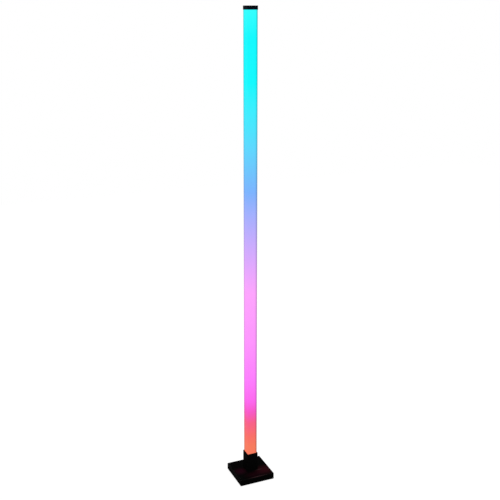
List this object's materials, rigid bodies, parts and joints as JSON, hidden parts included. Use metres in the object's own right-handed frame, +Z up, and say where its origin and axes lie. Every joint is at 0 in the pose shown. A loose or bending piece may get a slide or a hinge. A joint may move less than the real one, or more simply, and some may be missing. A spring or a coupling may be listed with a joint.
{
  "type": "corner floor lamp",
  "caption": "Slim floor lamp: a square light column, lit on two adjoining faces with a colour fade, held in a socket on a weighted square base.",
  "frame": {"origin": "centre of the base's footprint, on the floor", "axes": "+Z up the column; the two lit faces look towards -X and -Y, and the inlet and the button are on the +Y side of the base"},
  "size_m": [0.11, 0.1108, 1.4],
  "materials": {
    "base_black": "satin black powder coat",
    "ballast_iron": "as cast",
    "plate_black": "fine moulded texture",
    "screw_steel": "zinc plated",
    "foot_rubber": "matte",
    "socket_black": "satin black powder coat",
    "grommet_rubber": "matte",
    "anodised_black": "black anodised, extruded",
    "opal_diffuser": "opal, lit from inside with a colour fade",
    "strip_white": "white flexible circuit",
    "chip_lens": "clear resin",
    "connector_white": "moulded",
    "cap_black": "satin",
    "screw_black": "black oxide",
    "board_green": "solder mask",
    "module_can": "tinned",
    "component_black": "moulded",
    "inlet_black": "moulded",
    "pin_brass": "plated",
    "button_grey": "satin",
    "plunger_white": "moulded",
    "wire_white": "soft sleeve"
  },
  "bodies": {
    "lamp": {"base_cover": "base_black", "ballast_block": "ballast_iron", "bottom_plate": "plate_black", "cover_screws": "screw_steel", "rubber_feet": "foot_rubber", "socket_collar": "socket_black", "socket_screws": "screw_steel", "column_screws": "screw_steel", "cable_grommet": "grommet_rubber", "spine_profile": "anodised_black", "diffuser_cover": "opal_diffuser", "led_strip": "strip_white", "led_chips": "chip_lens", "strip_connector": "connector_white", "top_cap": "cap_black", "top_cap_screws": "screw_black", "controller_board": "board_green", "board_screws": "screw_steel", "control_module": "module_can", "power_components": "component_black", "board_connector": "connector_white", "dc_inlet": "inlet_black", "dc_inlet_pin": "pin_brass", "switch_body": "component_black", "wire_harness": "wire_white"},
    "button": {"power_button": "button_grey", "switch_plunger": "plunger_white"}
  },
  "joints": [
    {"name": "button_press", "type": "slide", "parent": "lamp", "child": "button", "axis": [0, -1, 0], "range_m": [0, 0.001], "stiffness_N_per_m": 1500, "springref_m": -0.0003}
  ]
}
